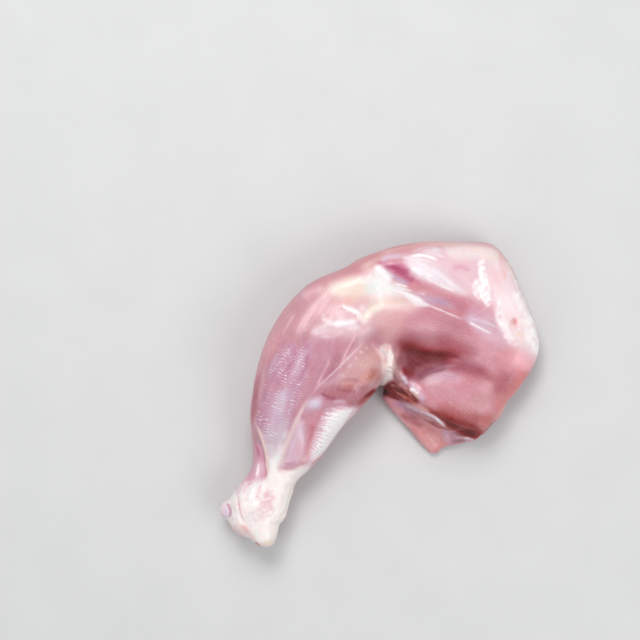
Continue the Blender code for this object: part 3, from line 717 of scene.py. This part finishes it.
# Rows of relief: shape, height in millimetres, places in the picture and size, as in the strokes.
RELIEF = (
    (LINE, 0.14, TENDON_HEAD, (1.2, 1.4)),
    (LINE, 0.45, TENDON, (1.8, 3.6)),
    (LINE, 0.14, SHORT_TENDON, (1.1, 1.0)),
    (LINE, 0.16, SIDE_TENDON, (1.1, 1.1)),
    (LINE, 0.4, LEFT_TENDON, (1.4, 1.8)),
    (DAB, 0.35, "314,404", (8, 5, -25)),
    (LINE, -0.5, "322,410 314,432 307,460", (2.4, 2.2)),
    (LINE, -0.3, "306,420 304,444 301,462", (1.2, 1.2)),
    (LINE, -0.4, "296,432 288,452 282,466", (1.6, 1.6)),
    (AREA, 0.45, "298,430 303,444 298,462 286,464 290,446", 4),
    (LINE, -0.55, "251,432 259,446 264,462 265,480", (1.7, 1.6)),
    (LINE, -0.3, "300,470 290,471 280,468", (1.5, 1.2)),
    (LINE, 0.3, "258,456 258,470 256,482", (2.4, 2)),
    (LINE, 0.3, "246,484 241,492 239,502", (2.0, 1.6)),
    (LINE, -0.35, "251,484 246,492 243,502", (1.2, 1.2)),
    (LINE, 0.35, "256,484 251,494 247,504", (1.6, 1.4)),
    (LINE, -0.45, "235,490 238,500 240,510 242,518 249,528", (1.3, 1.2)),
    (LINE, -0.7, "226,502 229,507 230.5,513 228,520", (1.3, 1.3)),
    (DAB, 0.5, "224,512", (4, 7, -10)),
    (DAB, -0.35, "264,500", (8, 12, 10)),
    (LINE, 0.4, "338,307 350,309 362,313", (1.3, 2.2)),
    (LINE, 0.35, "324,327 340,324 352,325", (2.6, 3)),
    (LINE, 0.75, "365,323 367,314 374,308 383,307", (3.4, 2.8)),
    (DAB, -0.35, "349,317", (8, 4, 10)),
    (LINE, -0.7, "381,265 394,270 408,278 422,284", (4, 3)),
    (LINE, 0.4, "380,268 392,276 406,284", (1.6, 1.4)),
    (LINE, -0.3, "420,285 444,293 464,306", (4, 4)),
    (LINE, 0.3, "410,268 424,277 444,287 459,292", (2.2, 2)),
    (LINE, 0.22, "406,256 426,256 443,263", (1.4, 2)),
    (LINE, 0.22, "392,289 404,293 416,298 428,304", (1.8, 1.6)),
    (LINE, 0.2, "424,303 438,309 466,320.5 480,328 494,335", (1.1, 1.1)),
    (AREA, 0.4, "479,262 485,260 488,276 491,292 490,304 484,298 480,282", 3),
    (AREA, 0.35, "473,284 478,280 481,290 477,297 473,292", 2),
    (AREA, 0.45, "493,303 500,308 506,318 510,330 517,344 508,342 502,332 496,318", 3),
    (DAB, -0.8, "515.5,322", (3.5, 5, -10)),
    (AREA, -2.4, "404,350 424,355 446,355 458,360 442,366 424,370 410,377 403,366", 6),
    (AREA, 1.2, "448,431 462,435 476,432 478,437 470,441 456,438", 3),
    (LINE, -1.2, "440,421 454,427 466,430 477,430", (3.5, 2.5)),
    (DAB, 1.8, "485,430", (7, 6, 30)),
    (LINE, 0.8, "386,344 389,352 391,362 390,372", (4.2, 3.6)),
    (DAB, 0.6, "396,371", (3, 6, 5)),
    (LINE, -0.7, "394,350 398,360 402,370", (2, 2)),
    (LINE, -0.8, "388,389 400,393 414,402 432,412", (2, 2)),
    (LINE, 0.4, "388,392 400,397 413,403", (1.4, 1.4)),
    (LINE, 0.6, "400,373 404,380 407,386", (2.2, 1.8)),
    (AREA, 0.7, "407,379 412,381 420,390 426,399 418,400 409,390", 2.6),
    (LINE, -0.5, "404,384 412,394 420,402", (1.2, 1.2)),
    (LINE, 0.55, "392,400 406,405.5 420,411 432,416 442,423 450,432", (2, 3)),
    (LINE, -0.5, "450,444 458,440 468,441", (2, 1.6)),
)

# Lumps of fat: height in millimetres, path, half width, and size of the lumps in millimetres.
FAT_LUMPS = (
    (1.0, FOLD_FAT, 5.0, 2.2),
    (0.5, FOLD_FAT, 5.0, 1.1),
    (0.7, "400,374 410,386 422,398", 4.0, 1.8),
    (0.35, "481,259 483,276 486,292 490,304", 5.0, 1.5),
    (0.4, "494,303 500,313 506,326 510,340", 6.0, 1.6),
    (0.3, "516,290 528,314 537,346", 7.0, 2.6),
    (0.3, "366,322 372,309 384,307", 4.0, 1.6),
    (0.25, "372,258 390,254 404,256", 4.0, 1.2),
    (0.3, "480,252 492,252 500,262", 5.0, 1.6),
    (0.8, "386,388 398,393 412,402", 4.5, 1.5),
    (0.3, "400,404 424,414 446,428", 3.0, 1.6),
)

# The knuckle's face, the knuckle with its neck seen from above, and the lower lobe's front.
KNUCKLE_AREA = path_of("250,486 300,480 290,520 272,545 240,526 220,514 232,492")
KNUCKLE_ROUND = path_of("244,470 262,452 284,452 316,470 310,520 290,560 250,560 200,530 200,490")
LOBE_FRONT = path_of("416,398 480,402 492,420 490,446 440,450")

# Lumps all over the knuckle and the flesh: size and height in millimetres, and seed.
KNUCKLE_LUMPS = ((6, 0.7, 71), (1.8, 0.34, 72))
FLESH_LUMPS = (9, 0.25, 78)

# Bundles of fibres: how the grain is squeezed, their size and height, and their seed.
BUNDLES = (0.10, 1.0, 0.25), 2.2, 0.09, 81
RIPPLE_HEIGHT = 0.06


def sculpt(skin):
    for shape, height, text, size in RELIEF:
        skin.lift(skin.stroke(shape, text, size), height)
    for number, (height, text, width, size) in enumerate(FAT_LUMPS):
        mask = skin.stroke(LINE, text, (width, width))
        there = np.flatnonzero(mask > TRACE)
        mask[there] *= 0.2 + rough_lumps(skin.points[there], size, FAT_SEED + number)
        skin.lift(mask, height)
    knuckle = skin.patch(KNUCKLE_AREA, 6)
    for size, height, seed in KNUCKLE_LUMPS:
        skin.lift(knuckle * rough_lumps(skin.points, size, seed), height)
    size, height, seed = FLESH_LUMPS
    skin.lift(rough_lumps(skin.points, size, seed) * skin.shown, height)
    squeeze, size, height, seed = BUNDLES
    bundles = rough_lumps(grain_places(skin) * squeeze, size, seed)
    skin.lift(bundles * skin.shown * (1 - knuckle), height)
    phase, depth = ripples(skin)
    skin.lift(np.sin(2 * np.pi * phase) * depth, RIPPLE_HEIGHT)


# The grain runs from the knee to the knuckle on the drumstick, and from a pole on the thigh.
KNEE_IN_PICTURE = (352.0, 303.0)
KNUCKLE_IN_PICTURE = (248.0, 530.0)
FAN_POLE = (330.0, 280.0)
THIGH_AREA = path_of("372,240 376,300 380,330 398,350 396,380 380,392 420,470 600,470 600,220")

# The drumstick's half width along its length, which the grain follows, and the thigh's mean reach
# from the pole, in millimetres.
DRUMSTICK_WAIST = ((0, 30, 60, 95, 120), (24, 29, 25, 12, 14))
THIGH_REACH = 55


def grain_places(skin):
    """Each point's place along and across the muscle it is in, in millimetres."""
    knee, knuckle = np.array(KNEE_IN_PICTURE), np.array(KNUCKLE_IN_PICTURE)
    axis = (knuckle - knee) / np.linalg.norm(knuckle - knee)
    d = (skin.seen - knee) * PIXEL
    along = d @ axis
    across = d @ np.array([-axis[1], axis[0]])
    waist = np.interp(along, *DRUMSTICK_WAIST)
    drumstick = np.stack([along, across / waist * DRUMSTICK_WAIST[1][0], skin.points[:, 2]], axis=1)
    d = (skin.seen - FAN_POLE) * PIXEL
    turn = np.arctan2(d[:, 1], d[:, 0])
    thigh = np.stack([np.linalg.norm(d, axis=1), turn * THIGH_REACH, skin.points[:, 2]], axis=1)
    in_thigh = ramp(outside(skin.seen, THIGH_AREA), 3, -3)[:, None]
    return drumstick * (1 - in_thigh) + thigh * in_thigh


# Fine ripples that run across the shin in columns: their length, the columns' width, and how they
# lean and the columns slant further down the picture, in pixels.
SHIN_AREA = path_of(
    "286,344 306,338 314,354 307,380 297,402 288,420 280,434 264,436 257,420 262,392 272,364"
)
SHIN_RIPPLE = 2.9
SHIN_COLUMN = 9.5
SHIN_LEAN = ((340, 380, 415, 440), (0.7, 0.5, 0.15, 0.0))
SHIN_SLANT = ((340, 400, 450), (0.75, 0.35, 0.2))

# Ribs on the calf: their length, lean and left edge, and how they fade to the right of it.
RIB_AREA = path_of("326,410 340,405 356,404 349,420 332,442 317,458 310,462 313,444 320,425")
RIB = 4.3
RIB_LEAN = ((405, 440, 460), (0.0, 0.4, 0.7))
RIB_EDGE = ((408, 425, 444, 462), (326, 320, 313, 309))
RIB_FADE = ((0, 8, 18), (1.0, 0.6, 0.15))

# Noise that the ripples wander, part and fade by: size in pixels and seed.
COLUMN_NOISE = (22, 92)
SHIN_NOISE = (4.0, 93)
SHIN_PATCHES = (6.0, 94)
RIB_NOISE = (6.0, 95)

# From this depth on, the faces that carry ripples are split.
FINE_DEPTH = 0.3


def ripples(skin):
    """The ripples: how many have gone by at each point, and how deep they are."""
    x, y = skin.seen.T
    flat = np.stack([x, y, np.zeros(len(x))], axis=1)
    column = (x + np.interp(y, *SHIN_SLANT) * (y - 395) + 3.0 * lumps(flat, *COLUMN_NOISE)) / SHIN_COLUMN
    fold = np.abs(column % 1.0 - 0.5) * 2
    wander = lumps(flat * (1.0, 0.5, 1.0), *SHIN_NOISE)
    shin_phase = (y - np.interp(y, *SHIN_LEAN) * (x - 285)) / SHIN_RIPPLE + 0.25 * fold + 0.6 * wander
    patches = ramp(rough_lumps(flat * (1.0, 0.7, 1.0), *SHIN_PATCHES), -0.3, 0.3)
    shin = skin.patch(SHIN_AREA, 7) * (0.15 + 0.85 * patches) * (0.35 + 0.65 * ramp(fold, 0.1, 0.7))

    rib_wander = lumps(flat * (0.6, 1.0, 1.0), *RIB_NOISE)
    rib_phase = (y - np.interp(y, *RIB_LEAN) * (x - 335)) / RIB + 0.8 * rib_wander
    ribs = skin.patch(RIB_AREA, 4) * np.interp(x - np.interp(y, *RIB_EDGE), *RIB_FADE)
    ribbed = ribs > shin
    return np.where(ribbed, rib_phase, shin_phase), np.where(ribbed, 1.6 * ribs, 1.2 * shin)


def new_skin():
    """The solid's form as a fine mesh, coarser below, where it lies on the floor."""
    mesh = solid.data.copy()
    mesh.transform(solid.matrix_world)
    leg = bpy.data.objects.new("leg_flesh", mesh)
    bpy.context.scene.collection.objects.link(leg)
    remesh = leg.modifiers.new("skin", "REMESH")
    remesh.mode = "VOXEL"
    remesh.voxel_size = SKIN_VOXEL * MM
    smooth = leg.modifiers.new("smooth", "SMOOTH")
    smooth.iterations = SKIN_SMOOTHING
    apply_modifiers(leg)
    hidden = [
        v.index for v in leg.data.vertices
        if v.co.z < HIDDEN_HEIGHT * MM and v.normal.z < FACING[0]
    ]
    leg.vertex_groups.new(name="hidden").add(hidden, 1.0, "REPLACE")
    thin = leg.modifiers.new("thin", "DECIMATE")
    thin.vertex_group = "hidden"
    thin.ratio = 1 - len(hidden) / len(leg.data.vertices) * (1 - HIDDEN_SHARE)
    apply_modifiers(leg)
    leg.vertex_groups.clear()
    refine(leg.data)
    return leg


def refine(mesh):
    """Splits the faces that carry the ripples."""
    _, depth = ripples(Skin(mesh))
    fine = depth > FINE_DEPTH
    form = bmesh.new()
    form.from_mesh(mesh)
    edges = [e for e in form.edges if all(fine[v.index] for v in e.verts)]
    bmesh.ops.subdivide_edges(form, edges=edges, cuts=1, use_grid_fill=True)
    form.to_mesh(mesh)
    form.free()
    mesh.update()


def apply_modifiers(obj):
    bpy.context.view_layer.update()
    graph = bpy.context.evaluated_depsgraph_get()
    mesh = bpy.data.meshes.new_from_object(obj.evaluated_get(graph))
    obj.modifiers.clear()
    obj.data = mesh


def node_maker(material):
    """Makes nodes: node(kind, field=value, inputs={socket: a value or another node's output})."""
    material.use_nodes = True
    nodes, links = material.node_tree.nodes, material.node_tree.links

    def node(kind, inputs=(), **fields):
        made = nodes.new(kind)
        for name, value in fields.items():
            setattr(made, name, value)
        for socket, value in dict(inputs).items():
            if isinstance(value, bpy.types.NodeSocket):
                links.new(value, made.inputs[socket])
            else:
                made.inputs[socket].default_value = value
        return made

    return node, nodes["Principled BSDF"], links


# Colours that the material mixes into the paint, as linear light.
DEEP_FLESH = (0.86, 0.62, 0.66, 1.0)
PALE_FLESH = (1.0, 0.88, 0.91, 1.0)
STRAND = (0.93, 0.82, 0.86, 1.0)
# GLINT is a painted highlight.
GLINT = (0.95, 0.88, 0.92, 1.0)
DEEP_FAT = (0.93, 0.70, 0.72, 1.0)
PALE_FAT = (1.0, 0.97, 0.95, 1.0)
# CREST_HIGHLIGHT and TROUGH_SHADE are painted light: highlight on the ripples' crests, shade in their
# troughs.
CREST_HIGHLIGHT = (0.95, 0.88, 0.94, 1.0)
TROUGH_SHADE = (0.52, 0.24, 0.34, 1.0)


def flesh_material():
    material = bpy.data.materials.new("raw_flesh")
    node, shader, links = node_maker(material)

    def attribute(name):
        return node("ShaderNodeAttribute", attribute_name=name)

    def maths(operation, a, b):
        return node("ShaderNodeMath", {0: a, 1: b}, operation=operation).outputs[0]

    def times(a, b):
        return maths("MULTIPLY", a, b)

    def plus(a, b):
        return maths("ADD", a, b)

    def noise(vector, scale, detail=3.0, roughness=0.55):
        inputs = {"Vector": vector, "Scale": scale, "Detail": detail, "Roughness": roughness}
        return node("ShaderNodeTexNoise", inputs).outputs["Fac"]

    def stretch(vector, scale):
        return node("ShaderNodeMapping", {"Vector": vector, "Scale": scale}).outputs["Vector"]

    def remap(value, ends):
        return node("ShaderNodeMapRange", {"Value": value, **ends}).outputs["Result"]

    def spread(value, low, high):
        return remap(value, {"From Min": 0.3, "From Max": 0.7, "To Min": low, "To Max": high})

    def blend(factor, a, b, kind="MIX"):
        made = node("ShaderNodeMix", {"Factor": factor}, data_type="RGBA", blend_type=kind)
        for socket, value in ((made.inputs[6], a), (made.inputs[7], b)):
            if isinstance(value, bpy.types.NodeSocket):
                links.new(value, socket)
            else:
                socket.default_value = value
        return made.outputs[2]

    tint = attribute("tint").outputs["Color"]
    fat = attribute("fat").outputs["Fac"]
    gleam = attribute("gleam").outputs["Fac"]
    grain = attribute("grain").outputs["Vector"]
    place = node("ShaderNodeTexCoord").outputs["Object"]

    # Flesh: mottled, with pale strands along the grain and small painted highlights (glints).
    fibre = noise(stretch(grain, (0.07, 0.9, 0.4)), 1.0, 4.0)
    mottle = noise(place, 130.0, 4.0)
    speck = noise(place, 1500.0, 2.0)
    uneven = plus(times(fibre, 0.35), times(mottle, 0.65))
    deep = blend(0.3, tint, DEEP_FLESH, "MULTIPLY")
    flesh = blend(spread(uneven, 0.0, 1.0), deep, blend(0.08, tint, PALE_FLESH))
    threads = noise(stretch(grain, (0.05, 1.1, 0.5)), 1.0, 4.0)
    apart = maths("ABSOLUTE", maths("SUBTRACT", threads, 0.5), 0.0)
    strand = remap(apart, {"From Max": 0.012, "To Min": 0.14, "To Max": 0.0})
    flesh = blend(times(strand, gleam), flesh, STRAND)
    specks = remap(speck, {"From Min": 0.60, "From Max": 0.72, "To Max": 0.4})
    glints = times(specks, spread(noise(place, 110.0, 2.0), -1.0, 1.2))
    flesh = blend(times(maths("MAXIMUM", glints, 0.0), gleam), flesh, GLINT)

    # Fat and film: paler, and finely marbled.
    marble = spread(noise(place, 700.0, 3.0), 0.0, 1.0)
    marbled = blend(marble, blend(0.12, tint, DEEP_FAT), blend(0.25, tint, PALE_FAT))
    colour = blend(fat, flesh, marbled)

    # Ripples: painted highlights on the crests and painted shade in the troughs, broken into dashes.
    turns = plus(attribute("ripple").outputs["Fac"], noise(place, 420.0))
    wave = maths("SINE", times(turns, 2 * math.pi), 0.0)
    dashes = spread(noise(stretch(grain, (1.0, 1.1, 0.8)), 1.0, 2.0), -0.1, 1.7)
    ripple = times(wave, times(attribute("ripple_depth").outputs["Fac"], dashes))
    crest_highlight = times(maths("MAXIMUM", ripple, 0.0), 0.5)
    trough_shade = times(maths("MAXIMUM", times(ripple, -1.0), 0.0), 0.4)
    links.new(blend(trough_shade, blend(crest_highlight, colour, CREST_HIGHLIGHT), TROUGH_SHADE), shader.inputs["Base Color"])

    # The wet film is thickest where the flesh is pale.
    rough = plus(spread(mottle, 0.76, 0.88), times(gleam, -0.4))
    links.new(rough, shader.inputs["Roughness"])
    links.new(times(gleam, 0.6), shader.inputs["Coat Weight"])

    fine = plus(times(fibre, 0.5), times(speck, 0.2))
    beads = times(noise(place, 900.0, 3.0), times(fat, 0.9))
    height = plus(plus(fine, beads), times(ripple, 0.4))
    bump = node("ShaderNodeBump", {"Height": height, "Strength": 0.7, "Distance": 0.00025})
    links.new(bump.outputs["Normal"], shader.inputs["Normal"])
    uneven_film = plus(mottle, height)
    film = node("ShaderNodeBump", {"Height": uneven_film, "Strength": 0.6, "Distance": 0.0003})
    links.new(film.outputs["Normal"], shader.inputs["Coat Normal"])
    for socket, value in (
        ("Subsurface Weight", 0.3), ("Subsurface Radius", (1.0, 0.35, 0.25)), ("Subsurface Scale", 0.0022),
        ("IOR", 1.42), ("Coat Roughness", 0.26), ("Specular IOR Level", 0.4), ("Coat IOR", 1.5),
    ):
        shader.inputs[socket].default_value = value
    return material


# Streaks on the sides, along the grain: colour, stretch, size in millimetres, level and strength.
SIDE_STREAKS = (
    ((190, 112, 128), (0.14, 0.9, 1.0), 7.0, 0.0, 0.55),
    ((226, 184, 200), (0.12, 0.9, 1.1), 6.0, 0.1, 0.6),
    ((172, 84, 98), (0.10, 1.2, 1.6), 5.0, 0.3, 0.6),
    ((246, 228, 222), (0.16, 1.2, 1.6), 5.0, 0.3, 0.8),
)


# How the sides begin, by how far up they face, and how far round the knuckle is pale, in pixels.
SIDE_FACING = (0.35, -0.1)
KNUCKLE_EDGE = (-5, 8)

# The lower lobe's front: the heights that it begins between, how it faces, its lumps and their seed.
LOBE_FOOT = (9, 12)
LOBE_FACING = (0.55, 0.25)
LOBE_LUMPS = (6, 320)


def knuckle_round(skin):
    """The knuckle and the neck, below and on the sides too."""
    return 1 - ramp(outside(skin.seen, KNUCKLE_ROUND), *KNUCKLE_EDGE)


def streak_sides(skin):
    """Streaks where strokes from above would only be drawn out."""
    side = ramp(skin.normals[:, 2], *SIDE_FACING) * (1 - 0.8 * knuckle_round(skin))
    grain = grain_places(skin)
    for number, (colour, stretch, size, level, strength) in enumerate(SIDE_STREAKS):
        streaks = rough_lumps(grain * stretch, size, SIDE_SEED + number)
        skin.paint(colour, ramp(streaks, level, level + 0.3) * side, strength)


def redden_lobe_front(skin):
    """Paints the steep front of the lower lobe, above the flap, as bare red flesh in painted shade."""
    steep = ramp(skin.points[:, 2], *LOBE_FOOT) * ramp(skin.normals[:, 2], *LOBE_FACING)
    wall = skin.patch(LOBE_FRONT, 9) * steep
    skin.paint(SHADED_RAW_RED, wall * (0.7 + 0.4 * rough_lumps(skin.points, *LOBE_LUMPS)))


# The paint, from the first layer to the last.
LAYERS = (
    DRUMSTICK_PAINT, SHIN_PAINT, NECK_PAINT, KNUCKLE_PAINT, THIGH_PAINT, KNEE_PAINT, BELLY_PAINT, FAN_PAINT,
    RIM_PAINT, FOLD_PAINT, TENDON_PAINT,
)

# What the skin can reflect, which of it carries the wet film, and how much less gloss fat has.
ALBEDO = (0.004, 0.95)
WET = (0.03, 0.32)
FAT_MATTE = 0.7


def store_looks(skin):
    """Keeps on the mesh what the material reads."""
    phase, depth = ripples(skin)
    albedo = linear(skin.tint) / BRIGHTNESS - np.outer(1 - FAT_MATTE * skin.fat, GLOSS)
    albedo = np.clip(albedo, *ALBEDO)
    skin.store("tint", "FLOAT_COLOR", np.hstack([albedo, np.ones((len(skin.points), 1))]))
    skin.store("fat", "FLOAT", skin.fat)
    skin.store("gleam", "FLOAT", ramp(albedo.mean(axis=1), *WET))
    skin.store("ripple", "FLOAT", phase)
    skin.store("ripple_depth", "FLOAT", depth)
    skin.store("grain", "FLOAT_VECTOR", grain_places(skin))


def dress_leg():
    leg = new_skin()
    skin = Skin(leg.data)
    sculpt(skin)
    skin.raise_relief()
    skin.paint(BONE_END, knuckle_round(skin))
    for rows in LAYERS:
        paint_rows(skin, rows)
    redden_lobe_front(skin)
    streak_sides(skin)
    store_looks(skin)
    leg.data.materials.clear()
    leg.data.materials.append(flesh_material())
    leg.data.shade_smooth()
    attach(leg, "root")
    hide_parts("chicken_leg")


def floor():
    bpy.ops.mesh.primitive_plane_add(size=4.0, location=(0.0, 0.0, -0.0002))
    plane = bpy.context.object
    plane.name = "floor"
    material = bpy.data.materials.new("pale_floor")
    node, shader, links = node_maker(material)
    place = node("ShaderNodeTexCoord").outputs["Object"]
    grey = node("ShaderNodeTexNoise", {"Vector": place, "Scale": 30.0, "Detail": 5.0}).outputs["Fac"]
    tone = node("ShaderNodeMapRange", {"Value": grey, "To Min": 0.60, "To Max": 0.66}).outputs["Result"]
    links.new(tone, shader.inputs["Base Color"])
    shader.inputs["Roughness"].default_value = 0.7
    plane.data.materials.append(material)


def lamp(name, place, size, watts, colour=(1.0, 1.0, 1.0)):
    """A square area light in metres that faces the leg."""
    light = bpy.data.lights.new(name, "AREA")
    light.shape = "SQUARE"
    light.size = size
    light.energy = watts
    light.color = colour
    obj = bpy.data.objects.new(name, light)
    obj.location = place
    obj.rotation_mode = "QUATERNION"
    obj.rotation_quaternion = (-Vector(place)).to_track_quat("-Z", "Y")
    bpy.context.scene.collection.objects.link(obj)


def lights():
    lamp("key", (-0.10, 0.62, 0.86), 0.5, 4.6)
    lamp("window", (-0.24, 0.52, 0.95), 0.3, 2.0)
    lamp("fill", (-0.8, -0.3, 0.8), 0.8, 1.8)
    lamp("side", (0.60, -0.40, 0.80), 0.6, 3.6)
    world = bpy.data.worlds.new("studio")
    world.use_nodes = True
    background = world.node_tree.nodes["Background"]
    background.inputs["Color"].default_value = (0.96, 0.98, 1.0, 1.0)
    background.inputs["Strength"].default_value = 0.45
    bpy.context.scene.world = world
    bpy.context.scene.view_settings.view_transform = "Standard"


def camera():
    data = bpy.data.cameras.new("camera")
    data.sensor_width = SENSOR
    data.lens = SENSOR * (CAMERA_HEIGHT - PIXEL_LEVEL) / (PICTURE * PIXEL)
    obj = bpy.data.objects.new("camera", data)
    obj.location = camera_place() * MM
    bpy.context.scene.collection.objects.link(obj)
    bpy.context.scene.camera = obj


camera()
floor()
lights()
dress_leg()
